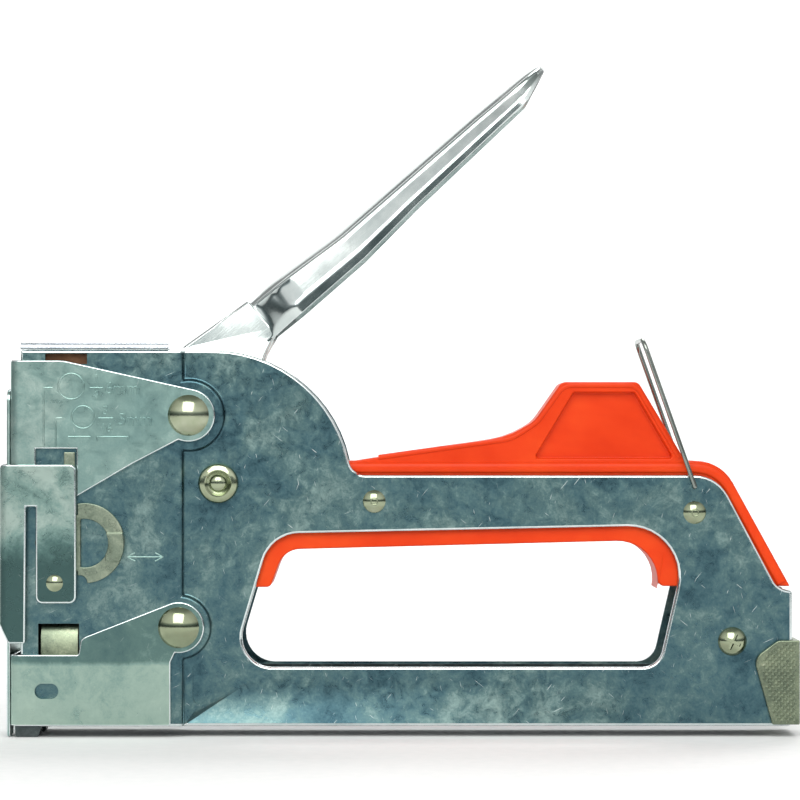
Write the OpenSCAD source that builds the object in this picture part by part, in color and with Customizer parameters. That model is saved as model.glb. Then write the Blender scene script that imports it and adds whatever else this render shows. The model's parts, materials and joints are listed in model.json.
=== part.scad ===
// Hand staple gun for cable staples: two pressed side plates riveted over a moulded grip,
// with a squeeze lever, a sprung plunger, a wire-size selector and a bottom magazine.
// X runs from the nose (-) to the rear (+), Y across, Z up. The origin is on the ground
// under the middle of the tool.

/* [Overall] */
// Length of the side plates, from their front edge to their rear edge
body_l = 165.8; // [145:0.1:200]
// Height of the front housing's top edge
front_h = 83.2; // [78:0.1:100]
// Height of the grip rail's top edge
rail_h = 56.4; // [52:0.1:68]
// Width over the two side plates at the grip
body_w = 16; // [14:0.1:20]
// Height of the side plates' bottom edge above the ground
base_z = 2.4; // [1.5:0.1:6]

/* [Sheet metal] */
// Thickness of the side plates
plate_t = 1.2; // [0.8:0.1:1.6]
// How far the front of each side plate is pressed outwards
step_w = 1.2; // [0.6:0.1:2]
// Thickness of the wrapped covers and of the face plate
cover_t = 0.8; // [0.5:0.1:1.2]
// Thickness of the selector bracket
bracket_t = 1.2; // [0.8:0.1:1.6]
// Gap left between stacked sheets
sheet_gap = 0.1; // [0.05:0.05:0.2]
// Outside radius of the covers' front bends
bend_r = 2; // [1.5:0.1:3]

/* [Finger window] */
// Height of the bottom bar under the finger window
bar_h = 12.65; // [11.5:0.1:18]
// Depth of the grip rail over the rear of the window
grip_depth = 10.9; // [9:0.1:14]
// Distance from the front edge to the window's lower front corner
window_front = 45.3; // [44:0.1:60]
// Distance from the window's lower rear corner to the rear edge
window_rear = 28.7; // [24:0.1:40]

/* [Grip moulding] */
// How far the moulding stands proud of the rail
trim_h = 3; // [2:0.1:5]
// Thickness of the moulding's lip inside the finger window
liner_t = 3.1; // [2:0.1:4]
// Height of the hump above the rail
hump_h = 20; // [14:0.1:21]
// Depth of the panel sunk into each side of the hump
panel_d = 1.6; // [0.5:0.1:3]
// Gap between the moulding and each side plate
mould_gap = 0.1; // [0.05:0.05:0.3]

/* [Lever] */
// Distance from the front edge to the lever's pivot
pivot_in = 42.4; // [40:0.1:46]
// Depth of the lever's pivot below the housing's top edge
pivot_down = 28.6; // [26:0.1:32]
// Radius of the pivot's shank
pivot_r = 3; // [2:0.1:4]
// Running clearance round the pivot's shank
pivot_gap = 0.05; // [0.02:0.01:0.1]
// Length of the lever's grip beyond the bend
grip_l = 82.7; // [65:0.1:92]
// How far the lever's grip is wider than the body on each side
lever_over = 1.5; // [1:0.1:3]
// Gap between the lever's neck and each side plate
neck_gap = 1.2; // [0.3:0.1:2.5]
// Thickness of the lever's sheet
lever_t = 1.2; // [0.8:0.1:1.6]
// Radius of the rounded end of the lever's lifting arm
arm_tip_r = 2; // [1.5:0.1:2.5]

/* [Plunger and spring] */
// Thickness of the driver blade
blade_t = 1; // [0.7:0.1:1.3]
// Gap between the plunger and each side plate
plunger_gap = 0.3; // [0.1:0.1:1]
// Gap between the lever's lifting arm and the plunger's seat at rest
seat_gap = 0.15; // [0.1:0.05:0.4]
// Thickness of the plunger's seat
seat_t = 3; // [2:0.1:4]
// Wire diameter of the main spring
spring_wire = 1.8; // [1.2:0.1:2]
// Outside diameter of the main spring
spring_d = 10; // [8:0.1:10.4]
// Turns of the main spring
spring_turns = 5; // [4:0.5:6]

/* [Selector] */
// Outside radius of the selector's ring
ring_r = 8.6; // [7:0.1:8.8]
// Width of the ring's band
ring_band = 3.4; // [2.5:0.1:4]
// Travel of the selector between its outer and inner stops
selector_travel = 5.2; // [3:0.1:5.4]

/* [Magazine] */
// Gap between the magazine channel and each side plate
channel_gap = 0.2; // [0.1:0.1:0.4]
// Gap between a staple and the channel's wall
staple_gap = 0.4; // [0.2:0.1:0.6]
// Sheet thickness of the magazine channel
channel_t = 1; // [0.7:0.1:1.2]
// Wire diameter of a staple
staple_wire = 0.9; // [0.7:0.1:1.2]
// Length of the loaded strip of staples
strip_l = 37; // [10:1:60]
// Radius of the magazine's guide rod
rod_r = 1.5; // [1:0.1:2]
// Clearance between the pusher and its rod
rod_gap = 0.1; // [0.05:0.05:0.2]
// Length of the pusher
pusher_l = 6; // [4:0.5:10]
// Radius of the round groove under the nose that a cable lies in
groove_r = 3.1; // [2.5:0.1:3.5]

/* [Rivets, screw and bail] */
// Head radius of the large cover rivets
big_rivet_r = 4.4; // [3.5:0.1:5]
// Head radius of the small grip rivets
small_rivet_r = 2.45; // [2:0.1:3]
// Head radius of the rear screw
screw_r = 3.1; // [2.6:0.1:3.6]
// Clearance round each shank in its hole
hole_gap = 0.05; // [0.02:0.01:0.1]
// Wire diameter of the lock bail
bail_wire = 1; // [0.8:0.1:1.2]
// Distance from the bail's pivot to the far side of its loop
bail_l = 33.9; // [30:0.1:34]

/* [Hidden] */
$fn = 48;

// Layers across the body, from the inside out, as distances from the middle
plate_in = body_w / 2 - plate_t;
plate_out = body_w / 2;
front_in = plate_in + step_w;
front_out = plate_out + step_w;
cover_in = front_out + sheet_gap;
cover_out = cover_in + cover_t;
bracket_in = cover_out + sheet_gap;
bracket_out = bracket_in + bracket_t;

// Widths of what runs between the plates
lever_w = body_w + 2 * lever_over;
neck_w = 2 * (plate_in - neck_gap);
plunger_w = 2 * (plate_in - plunger_gap);
channel_w = 2 * (plate_in - channel_gap);
staple_w = channel_w - 2 * channel_t - 2 * staple_gap;
blade_gap = 0.3;
blade_w = staple_w + 2 * blade_gap;

// Layers at the nose, in front of the side plates' front edges
guide_reach = 1.3;
catch_reach = 1.5;
nose_stack = guide_reach + 2 * cover_t + bracket_t + 3 * sheet_gap;
front_x = nose_stack - (body_l + nose_stack + catch_reach) / 2;
rear_x = front_x + body_l;
guide_x = front_x - guide_reach;
cover_x = guide_x - sheet_gap - cover_t;
face_x = cover_x - sheet_gap - cover_t;
bracket_x = face_x - sheet_gap - bracket_t;

// Main places, each as [x, z]
pivot = [front_x + pivot_in, front_h - pivot_down];
shoulder_r = 29.8;
shoulder = [front_x + 41.2, front_h - shoulder_r];
upper_rivet = [front_x + 36.1, front_h - 14];
lower_rivet = [front_x + 34, 23.7];
joggle_x = front_x + 34.8;
bail_pivot = [rear_x - 21, rail_h - 2.5];
front_grip_rivet = [front_x + 75.9, rail_h - 5.7];
rear_grip_rivet = [rear_x - 21, rail_h - 8.1];
rear_screw_at = [rear_x - 12.9, 20.6];
ring_at = [front_x + 13.8, 41.8];
bracket_rivet_at = [front_x + 7.6, 33.3];
pin_at = [ring_at.x - 3.9, ring_at.y];
slot_at = [front_x + 5.7, 10.05];

arm_tip = pivot + [-27.2, -6.75];
seat_z = arm_tip.y + arm_tip_r + seat_gap;

shank_r = 1.3;
pin_r = 1.2;
rod_z = 9;
channel_z = 3;
channel_top = 14.6;
guide_top = 14;
window_z = base_z + bar_h;
window_top = rail_h - grip_depth;
channel_end = rear_x - 6;

// Corner rounding: each outline point is [x, z, radius of its corner]
function unit(v) = v / norm(v);
function flat(p) = [p[0], p[1]];
function corner(a, b, c, r) =
    let (
        u = unit(flat(a) - flat(b)),
        v = unit(flat(c) - flat(b)),
        half = acos(u * v) / 2,
        middle = flat(b) + unit(u + v) * r / sin(half),
        from = flat(b) + u * r / tan(half) - middle,
        to = flat(b) + v * r / tan(half) - middle,
        start = atan2(from[1], from[0]),
        turn = (atan2(to[1], to[0]) - start + 540) % 360 - 180,
        steps = max(2, ceil(abs(turn) / 10))
    )
    [for (i = [0:steps]) middle + r * [cos(start + turn * i / steps), sin(start + turn * i / steps)]];
function rounded(p) =
    let (n = len(p))
    [
        for (i = [0:n - 1])
            each (len(p[i]) < 3 || p[i][2] == 0)
                ? [flat(p[i])]
                : corner(p[(i + n - 1) % n], p[i], p[(i + 1) % n], p[i][2])
    ];

// Extrudes an XZ outline across the body, from y0 to y1
module across(y0, y1) {
    translate([0, y1, 0]) rotate([90, 0, 0]) linear_extrude(y1 - y0) children();
}

// Extrudes a YZ outline along the body, from x0 to x1
module along(x0, x1) {
    translate([x0, 0, 0]) rotate([90, 0, 90]) linear_extrude(x1 - x0) children();
}

// A round bar across the body at p, from y0 to y1
module bar_across(p, r, y0, y1) {
    translate([p[0], y0, p[1]]) rotate([-90, 0, 0]) cylinder(r = r, h = y1 - y0);
}

// A domed head on the outside of a sheet, with its flat side at y
module dome(p, r, y, h) {
    ball = (r * r + h * h) / (2 * h);
    translate([p[0], y, p[1]]) rotate([-90, 0, 0])
        rotate_extrude()
            intersection() {
                translate([0, h - ball]) circle(ball, $fn = 96);
                square([r, h]);
            }
}

// The same solid on both sides of the body
module both_sides() {
    children();
    mirror([0, 1, 0]) children();
}

module disc(p, r) {
    translate(p) circle(r);
}

// A slot with round ends from a to b, both [x, z]
module slot(a, b, r) {
    disc(a, r);
    disc(b, r);
    d = unit(b - a) * r;
    side = [-d[1], d[0]];
    polygon([a + side, a - side, b - side, b + side]);
}

// ---- Side plates ----

module plate_outline() {
    polygon(rounded([
        [front_x, base_z, 0.6],
        [front_x, front_h, 0.6],
        [shoulder.x, front_h],
        for (a = [84:-6:12]) shoulder + shoulder_r * [cos(a), sin(a)],
        [shoulder.x + shoulder_r + 0.6, rail_h, 3.6],
        [rear_x - 16.1, rail_h, 8.3],
        [rear_x - 3.2, 32.1, 4],
        [rear_x, 31.4, 0.8],
        [rear_x, base_z, 1],
    ]));
}

// The front area that is pressed outwards; grow moves its edge
module raised_outline(grow) {
    translate([front_x - 5, base_z - 5])
        square([joggle_x - front_x + 5 + grow, front_h - base_z + 10]);
    disc(upper_rivet, 7.6 + grow);
    disc(lower_rivet, 6.8 + grow);
}

module finger_window() {
    polygon(rounded([
        [front_x + window_front, window_z, 6.5],
        [front_x + window_front + 8.5, window_top - 1.9, 8],
        [rear_x - window_rear + 7, window_top, 10.7],
        [rear_x - window_rear, window_z, 4.5],
    ]));
}

module side_plate() {
    difference() {
        union() {
            across(plate_in, plate_out) difference() {
                plate_outline();
                raised_outline(-plate_t / 2);
            }
            across(plate_in, front_out) intersection() {
                plate_outline();
                difference() {
                    raised_outline(0);
                    raised_outline(-plate_t);
                }
            }
            across(front_in, front_out) intersection() {
                plate_outline();
                raised_outline(-plate_t / 2);
            }
        }
        across(0, front_out + 1) finger_window();
        // Shallow pressed relief over the window, and a dimple in front of it
        across(plate_out - 0.3, plate_out + 1) polygon(rounded([
            [front_x + 65.5, window_top - 1, 1],
            [front_x + 65.5, window_top + 3.3, 1],
            [front_x + 92.2, window_top + 3.9, 1],
            [front_x + 92.2, window_top, 1],
        ]));
        across(plate_out - 0.3, plate_out + 1)
            slot([front_x + 38.3, 8.5], [front_x + 38.3, 14.4], 1.4);
        // Slot under the top edge that shows the spring stop
        across(0, front_out + 1) translate([front_x + 5.3, front_h - 3]) square([9, 2.3]);
        // Loading window over the lower cover
        across(0, front_out + 1) translate([front_x + 3.8, 17.8]) square([8.8, 6.7]);
        // Travel slot of the selector's pin
        across(0, front_out + 1)
            slot(pin_at - [selector_travel + 0.2, 0], pin_at + [0.2, 0], pin_r + 0.2);
        bar_across(pivot, pivot_r + hole_gap, 0, 30);
        bar_across(upper_rivet, shank_r + hole_gap, 0, 30);
        bar_across(lower_rivet, shank_r + hole_gap, 0, 30);
        bar_across(front_grip_rivet, shank_r + hole_gap, 0, 30);
        bar_across(rear_grip_rivet, shank_r + hole_gap, 0, 30);
        bar_across(bracket_rivet_at, shank_r + hole_gap, 0, 30);
        bar_across(rear_screw_at, shank_r + hole_gap, 0, 30);
        bar_across(bail_pivot, bail_wire / 2 + hole_gap, 0, 30);
    }
}

module side_plate_right() { color("silver") side_plate(); }

module side_plate_left() { color("silver") mirror([0, 1, 0]) side_plate(); }

module top_cap() {
    color("lightsteelblue")
        along(front_x, front_x + 31.7)
            polygon(rounded([
                [-front_out, front_h + 0.1, 0],
                [-front_out, front_h + 1.7, 1.2],
                [front_out, front_h + 1.7, 1.2],
                [front_out, front_h + 0.1, 0],
            ]));
}

// ---- Sheets wrapped round the nose ----

// A sheet bent to a U round the nose: outside faces at x_out and +-y_out
module nose_wrap(x_out, y_out, t, x_end) {
    linear_extrude(front_h + 10)
        difference() {
            polygon(rounded([
                [x_end, -y_out], [x_out, -y_out, bend_r], [x_out, y_out, bend_r], [x_end, y_out],
            ]));
            polygon(rounded([
                [x_end + 1, t - y_out], [x_out + t, t - y_out, bend_r - t],
                [x_out + t, y_out - t, bend_r - t], [x_end + 1, y_out - t],
            ]));
        }
}

module upper_cover() {
    low = 51.2;
    color("silver")
        difference() {
            intersection() {
                nose_wrap(cover_x, cover_out, cover_t, upper_rivet.x + 10);
                across(-cover_out, cover_out)
                    polygon(rounded([
                        [cover_x, low],
                        [cover_x, front_h - 2.2, 0.5],
                        [front_x + 9.2, front_h - 2.2, 8],
                        for (a = [78:-5:-112]) upper_rivet + 5.7 * [cos(a), sin(a)],
                        [front_x + 24, front_h - 24.5, 20],
                        [front_x + 11.2, low],
                    ]));
            }
            both_sides() bar_across(upper_rivet, shank_r + hole_gap, 0, 30);
            // Window that the selector's pointer moves in
            across(-30, 30) translate([front_x + 3.4, low - 1]) square([8.7, 62 - low + 1]);
        }
}

module lower_cover() {
    color("silver")
        difference() {
            intersection() {
                nose_wrap(cover_x, cover_out, cover_t, lower_rivet.x + 10);
                across(-cover_out, cover_out)
                    polygon(rounded([
                        [cover_x, base_z + 0.2],
                        [cover_x, 17.9, 0.5],
                        [front_x + 12.5, 17.9, 0.4],
                        [front_x + 13, 21.4, 2],
                        for (a = [112:-5:-98]) lower_rivet + 5.5 * [cos(a), sin(a)],
                        [lower_rivet.x - 1.7, 16.3, 1],
                        [lower_rivet.x - 1.7, base_z + 0.2, 0.6],
                    ]));
            }
            both_sides() bar_across(lower_rivet, shank_r + hole_gap, 0, 30);
            across(-30, 30) slot(slot_at - [0.9, 0], slot_at + [0.9, 0], 1.65);
        }
}

// Round groove that lets a cable pass under the nose
module cable_groove() {
    translate([front_x - 20, 0, 0]) rotate([0, 90, 0]) cylinder(r = groove_r, h = 40);
}

module front_plate() {
    color("lightgray")
        difference() {
            along(face_x, face_x + cover_t)
                polygon(rounded([
                    [-8.4, 0.2, 0.8], [-8.4, front_h - 8.4, 2.5],
                    [8.4, front_h - 8.4, 2.5], [8.4, 0.2, 0.8],
                ]));
            cable_groove();
        }
}

module nose_guide() {
    x0 = guide_x;
    x1 = front_x + 4.2;
    slot_front = front_x + 0.6;
    color("dimgray")
        difference() {
            across(sheet_gap - front_in, front_in - sheet_gap)
                polygon(rounded([[x0, 0, 0.6], [x0, guide_top], [x1, guide_top], [x1, 1.8], [x1 - 0.6, 0, 0.3]]));
            // Slot that the driver blade runs in
            translate([slot_front, -blade_w / 2 - blade_gap, -1])
                cube([blade_t + 0.5, blade_w + 2 * blade_gap, guide_top + 2]);
            // Feed opening from the magazine
            translate([slot_front, -blade_w / 2 - blade_gap, 1.4])
                cube([10, blade_w + 2 * blade_gap, 12]);
            cable_groove();
        }
}

// ---- Wire-size selector ----

module selector_bracket() {
    top = 58.7;
    color("gray")
        difference() {
            intersection() {
                nose_wrap(bracket_x, bracket_out, bracket_t, front_x + 12.3);
                across(-bracket_out, bracket_out)
                    polygon(rounded([
                        [bracket_x, 24.3, 1.5],
                        [bracket_x, top, 1],
                        [front_x + 12.2, top, 1.5],
                        [front_x + 12.2, 28.9, 1.5],
                        [front_x + 3.5, 28.9, 1.5],
                        [front_x + 3.5, 49.6],
                        [front_x + 1.5, 49.6],
                        [front_x + 1.3, 20.3, 0.5],
                        [bracket_x + 2, 20.3, 1],
                    ]));
            }
            both_sides() bar_across(bracket_rivet_at, shank_r + hole_gap, 0, 30);
        }
}

module bracket_rivets() {
    color("gainsboro")
        both_sides() {
            bar_across(bracket_rivet_at, shank_r, front_in - 0.6, bracket_out + 0.2);
            bar_across(bracket_rivet_at, 2, front_in - 0.6, front_in - 0.05);
            dome(bracket_rivet_at, 1.8, bracket_out + 0.02, 0.7);
        }
}

module selector_slide() {
    y0 = cover_in;
    y1 = cover_out - sheet_gap / 2;
    root = [front_x + 6.4, ring_at.y - 6];
    color("darkkhaki")
        both_sides()
            difference() {
                union() {
                    across(y0, y1) {
                        intersection() {
                            disc(ring_at, ring_r);
                            translate([ring_at.x - 1.5, 0]) square([20, 100]);
                        }
                        translate(root) square([ring_at.x - root.x, 12]);
                        // Pointer in the upper cover's window
                        translate([front_x + 9.4, ring_at.y]) square([2.4, 61.3 - ring_at.y]);
                    }
                    // Raised thumb piece on the ring's outer side
                    across(y0, y1 + 1.2) intersection() {
                        disc(ring_at, ring_r);
                        translate([ring_at.x + 4.6, ring_at.y - 3.8]) square([10, 6]);
                    }
                }
                across(y0 - 1, y1 + 5) intersection() {
                    disc(ring_at, ring_r - ring_band);
                    translate([ring_at.x - 0.8, 0]) square([20, 100]);
                }
                bar_across(pin_at, pin_r + 0.01, 0, 30);
                // Relief that passes the bracket's rivet at the end of the travel
                across(y0 - 1, y1 + 5)
                    slot(bracket_rivet_at, bracket_rivet_at + [selector_travel, 0], shank_r + 0.3);
            }
}

module selector_pin() {
    color("silver") bar_across(pin_at, pin_r, -cover_out + 0.2, cover_out - 0.2);
}

// ---- Grip moulding ----

module moulding_outline() {
    trim = rail_h + trim_h;
    polygon(rounded([
        [front_x + 67.4, trim],
        [rear_x - 15.2, trim, 9],
        [rear_x - 0.3, 32.4],
        [rear_x - window_rear + 4.3, 32.4],
        [rear_x - window_rear - 0.2, 32.4, 1.2],
        [rear_x - window_rear + 2, window_top - liner_t, 8.6],
        [front_x + window_front + 11.2, window_top - liner_t - 2.1, 5],
        [front_x + window_front + 8.2, 32.2, 1.2],
        [front_x + window_front + 4.4, 32.2],
        [front_x + window_front + 4.4, window_top + 2],
        [front_x + 67.4, window_top + 2],
    ]));
}

module hump_outline() {
    top = rail_h + hump_h;
    low = rail_h + trim_h - 0.1;
    polygon(rounded([
        [rear_x - 94.8, low],
        [rear_x - 60.8, rail_h + 8.3, 20],
        [rear_x - 55.4, rail_h + 11.6, 7],
        [rear_x - 49.5, top, 1.8],
        [rear_x - 33, top, 1.6],
        [rear_x - 22.8, low],
    ]));
}

module hump_panel() {
    top = rail_h + hump_h - 2.2;
    low = rail_h + trim_h + 0.5;
    polygon(rounded([
        [rear_x - 55.5, low, 0.6],
        [rear_x - 46.9, top, 0.8],
        [rear_x - 33.8, top, 0.8],
        [rear_x - 25.4, low, 0.6],
    ]));
}

module grip_insert() {
    half = plate_in - mould_gap;
    color("orangered")
        difference() {
            across(-half, half) {
                moulding_outline();
                hump_outline();
            }
            both_sides() across(half - panel_d, half + 1) hump_panel();
            bar_across(front_grip_rivet, shank_r + hole_gap, -20, 20);
            bar_across(rear_grip_rivet, shank_r + hole_gap, -20, 20);
        }
}

// ---- Lever ----

// Direction of the lever's grip, and a place on it from its bend
grip_angle = 42.2;
bend_at = [pivot[0] + 6.2, pivot[1] + 37.6];
function on_grip(l, d, r = 0) = [
    bend_at[0] + l * cos(grip_angle) - d * sin(grip_angle),
    bend_at[1] + l * sin(grip_angle) + d * cos(grip_angle),
    r,
];

module neck_outline() {
    polygon(rounded([
        arm_tip + [-1.2, 1.5],
        arm_tip + [1.5, arm_tip_r - 0.3],
        [pivot[0] - 13, pivot[1] + 4, 6],
        [pivot[0] - 8.4, front_h + 0.5, 3],
        on_grip(1, 1.4),
        on_grip(9, 0.2),
        on_grip(6, -8),
        on_grip(0.7, -8.3),
        [pivot[0] + 9.6, front_h - 1.5, 6],
        [pivot[0] + 7.4, pivot[1] - 2, 5],
        [pivot[0] - 2, pivot[1] - 7.8, 6],
        arm_tip + [0, -arm_tip_r],
    ]));
    disc(arm_tip, arm_tip_r);
}

module grip_outline() {
    polygon(rounded([
        on_grip(0.5, 1.5),
        on_grip(25, -0.8, 100),
        on_grip(grip_l - 10, -1.9, 60),
        on_grip(grip_l, -3.4),
        on_grip(grip_l, -4.6),
        on_grip(grip_l - 8, -7.3),
        on_grip(42.2, -8),
        on_grip(25.7, -8.9),
        on_grip(0.7, -8.3),
    ]));
}

// The grip seen square to its top face: full width, with a rounded end
module grip_plan(w, l) {
    polygon([
        [2, -neck_w / 2], [10, -w / 2],
        for (a = [-80:10:80]) [l - w * 0.9 + w * 0.9 * cos(a), w / 2 * sin(a)],
        [10, w / 2], [2, neck_w / 2],
    ]);
}

module grip_solid(w, l, low) {
    intersection() {
        across(-w, w) grip_outline();
        translate([bend_at[0], 0, bend_at[1]]) rotate([0, -grip_angle, 0])
            translate([0, 0, low]) linear_extrude(40) grip_plan(w, l);
    }
}

module lever() {
    color("gainsboro")
        difference() {
            union() {
                across(-neck_w / 2, neck_w / 2) neck_outline();
                grip_solid(lever_w, grip_l + 0.5, -20);
            }
            // The channel is open below: hollow between its walls and under its top skin
            translate([bend_at[0], 0, bend_at[1]]) rotate([0, -grip_angle, 0])
                translate([0, 0, -20])
                    linear_extrude(20 - lever_t)
                        difference() {
                            grip_plan(lever_w - 2 * lever_t, grip_l - lever_t);
                            translate([-1, -20]) square([6, 40]);
                        }
            // Hollow of the neck, down to the lifting arm
            across(lever_t - neck_w / 2, neck_w / 2 - lever_t)
                polygon(rounded([
                    [pivot[0] - 7.2, pivot[1] + 10],
                    [pivot[0] - 6.9, front_h - 0.9],
                    on_grip(1, -lever_t),
                    on_grip(9, -lever_t),
                    on_grip(6, -20),
                    [pivot[0] + 20, front_h - 5],
                    [pivot[0] + 20, pivot[1] + 10],
                ]));
            bar_across(pivot, pivot_r + pivot_gap, -20, 20);
        }
}

module lever_pivot() {
    color("silver") {
        bar_across(pivot, pivot_r, -plate_out - 0.3, plate_out + 0.3);
        both_sides() difference() {
            translate([pivot[0], plate_out + 0.02, pivot[1]]) rotate([-90, 0, 0])
                rotate_extrude() polygon([
                    [0, 0], [4.3, 0], [4.3, 0.7], [3.8, 1.3], [2.9, 1.5], [2.2, 0.9],
                    [1.9, 0.8], [1.7, 1.2], [1.1, 1.6], [0, 1.7],
                ]);
        }
    }
}

// ---- Fasteners ----

module cover_rivets() {
    color("silver")
        both_sides()
            for (p = [upper_rivet, lower_rivet]) {
                bar_across(p, shank_r, front_in - 0.6, cover_out + 0.5);
                bar_across(p, 2.6, front_in - 0.6, front_in - 0.05);
                dome(p, big_rivet_r, cover_out + 0.02, 2);
            }
}

module grip_rivets() {
    color("silver")
        for (p = [front_grip_rivet, rear_grip_rivet]) {
            bar_across(p, shank_r, -plate_out - 0.3, plate_out + 0.3);
            both_sides() dome(p, small_rivet_r, plate_out + 0.02, 1.1);
        }
}

module rear_spacer() {
    color("silver")
        difference() {
            bar_across(rear_screw_at, 3, -plate_in + 0.05, plate_in - 0.05);
            bar_across(rear_screw_at, shank_r + hole_gap, -20, 20);
        }
}

module rear_screw() {
    color("silver")
        difference() {
            union() {
                bar_across(rear_screw_at, shank_r, -plate_out - 0.5, plate_out + 2);
                mirror([0, 1, 0]) dome(rear_screw_at, screw_r, plate_out + 0.02, 1.7);
            }
            // Cross recess in the head
            for (a = [25, 115])
                translate([rear_screw_at[0], -plate_out - 1.3, rear_screw_at[1]])
                    rotate([0, a, 0]) cube([3.6, 1.6, 0.7], center = true);
        }
}

module rear_nut() {
    color("silver")
        difference() {
            translate([rear_screw_at[0], plate_out + 0.05, rear_screw_at[1]]) rotate([-90, 0, 0])
                cylinder(r = 3.1, h = 1.8, $fn = 6);
            bar_across(rear_screw_at, shank_r + hole_gap, 0, 20);
        }
}

// ---- Plunger, driver and springs ----

spring_at = front_x + 6.4;
stem_x = front_x + 1.9;
stem_z = 20;
stop_z = front_h - 3.9;

module plunger() {
    color("slategray") {
        translate([front_x + 0.9, -plunger_w / 2, seat_z])
            cube([arm_tip.x + 1.2 - front_x - 0.9, plunger_w, seat_t]);
        translate([stem_x, 0.5 - plunger_w / 2, stem_z])
            cube([1.2, plunger_w - 1, seat_z - stem_z + 1]);
        // Pilot inside the spring
        translate([spring_at, 0, seat_z + seat_t - 0.1]) cylinder(r = 2.6, h = 4);
    }
}

module driver_blade() {
    color("dimgray")
        difference() {
            translate([stem_x - 0.05 - blade_t, -blade_w / 2, 0.6]) cube([blade_t, blade_w, 25]);
            cable_groove();
        }
}

// A coil spring along +Z from the origin, as wire swept round a helix
module coil(mean_r, wire, length, turns, per_turn, sides) {
    n = round(turns * per_turn);
    pitch_run = length - wire;
    points = [
        for (i = [0:n]) let (a = 360 * turns * i / n)
            for (j = [0:sides - 1]) let (b = 360 * j / sides, r = mean_r + wire / 2 * cos(b))
                [r * cos(a), r * sin(a), wire / 2 + pitch_run * i / n + wire / 2 * sin(b)]
    ];
    walls = [
        for (i = [0:n - 1])
            for (j = [0:sides - 1])
                let (k = (j + 1) % sides, here = i * sides, next = here + sides)
                    each [[here + j, next + j, next + k], [here + j, next + k, here + k]]
    ];
    first_end = [for (j = [0:sides - 1]) j];
    last_end = [for (j = [sides - 1:-1:0]) n * sides + j];
    polyhedron(points, concat(walls, [first_end, last_end]));
}

module main_spring() {
    base = seat_z + seat_t + 0.05;
    color("darkgray")
        translate([spring_at, 0, base])
            coil((spring_d - spring_wire) / 2, spring_wire, stop_z - base - 0.05, spring_turns, 20, 8);
}

module spring_stop() {
    color("peru")
        translate([front_x + 0.5, sheet_gap - front_in, stop_z])
            cube([14.5, 2 * (front_in - sheet_gap), 3.8]);
}

module bumper() {
    w = plunger_w - 2;
    color("black") translate([front_x + 4.4, -w / 2, channel_top + 0.1]) cube([6.6, w, 5]);
}

module feed_leaves() {
    y1 = front_in - 0.1;
    color("darkkhaki")
        both_sides()
            along(front_x + 4.2, front_x + 12.2)
                polygon([
                    [y1 - 0.6, 16], [y1 - 0.6, 21.6], [y1 - 1.9, 24.1], [y1 - 1.4, 24.4],
                    [y1, 21.8], [y1, 16],
                ]);
}

// ---- Magazine ----

strip_x = front_x + 4.3;
pusher_x = strip_x + strip_l + 0.2;
catch_in = rear_x - 6.2;

module magazine_channel() {
    h = channel_w / 2;
    color("gray")
        along(front_x + 4.3, channel_end)
            polygon([
                [-h, channel_z], [-h, channel_top], [channel_t - h, channel_top],
                [channel_t - h, channel_z + channel_t], [h - channel_t, channel_z + channel_t],
                [h - channel_t, channel_top], [h, channel_top], [h, channel_z],
            ]);
}

module staple_strip() {
    h = staple_w / 2;
    low = channel_z + channel_t + 0.3;
    top = channel_top - 0.8;
    color("lightsteelblue")
        along(strip_x, strip_x + strip_l)
            polygon([
                [-h, low], [-h, top], [h, top], [h, low], [h - staple_wire, low],
                [h - staple_wire, top - staple_wire], [staple_wire - h, top - staple_wire],
                [staple_wire - h, low],
            ]);
}

module pusher() {
    h = staple_w / 2;
    low = channel_z + channel_t + 0.3;
    color("gray")
        difference() {
            translate([pusher_x, -h, low]) cube([pusher_l, 2 * h, channel_top - 0.8 - low]);
            translate([pusher_x - 1, 0, rod_z]) rotate([0, 90, 0])
                cylinder(r = rod_r + rod_gap, h = pusher_l + 2);
        }
}

module guide_rod() {
    color("silver")
        translate([front_x + 7, 0, rod_z]) rotate([0, 90, 0])
            cylinder(r = rod_r, h = catch_in + 3 - front_x - 7);
}

module pusher_spring() {
    x0 = pusher_x + pusher_l + 0.1;
    color("darkgray")
        translate([x0, 0, rod_z]) rotate([0, 90, 0])
            coil(rod_r + 0.9, 0.8, catch_in - 0.1 - x0, 22, 12, 6);
}

module rear_catch() {
    y0 = plate_out + 0.15;
    y1 = y0 + 1;
    out = rear_x + catch_reach;
    color("darkkhaki")
        difference() {
            union() {
                both_sides() across(y0, y1)
                    polygon(rounded([
                        [out, 2.8, 0.6], [out, 20.9, 0.6], [rear_x - 3.2, 20.9, 2],
                        [rear_x - 8.4, 17, 3], [rear_x - 4.4, 2.8],
                    ]));
                translate([rear_x + 0.2, -y1, 2.8]) cube([catch_reach - 0.2, 2 * y1, 18.1]);
                translate([catch_in, 0.2 - staple_w / 2, channel_z + channel_t + 0.3])
                    cube([rear_x + 0.5 - catch_in, staple_w - 0.4, 9]);
            }
            translate([catch_in - 1, 0, rod_z]) rotate([0, 90, 0])
                cylinder(r = rod_r + 0.01, h = 4);
        }
}

// ---- Lock bail ----

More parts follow.
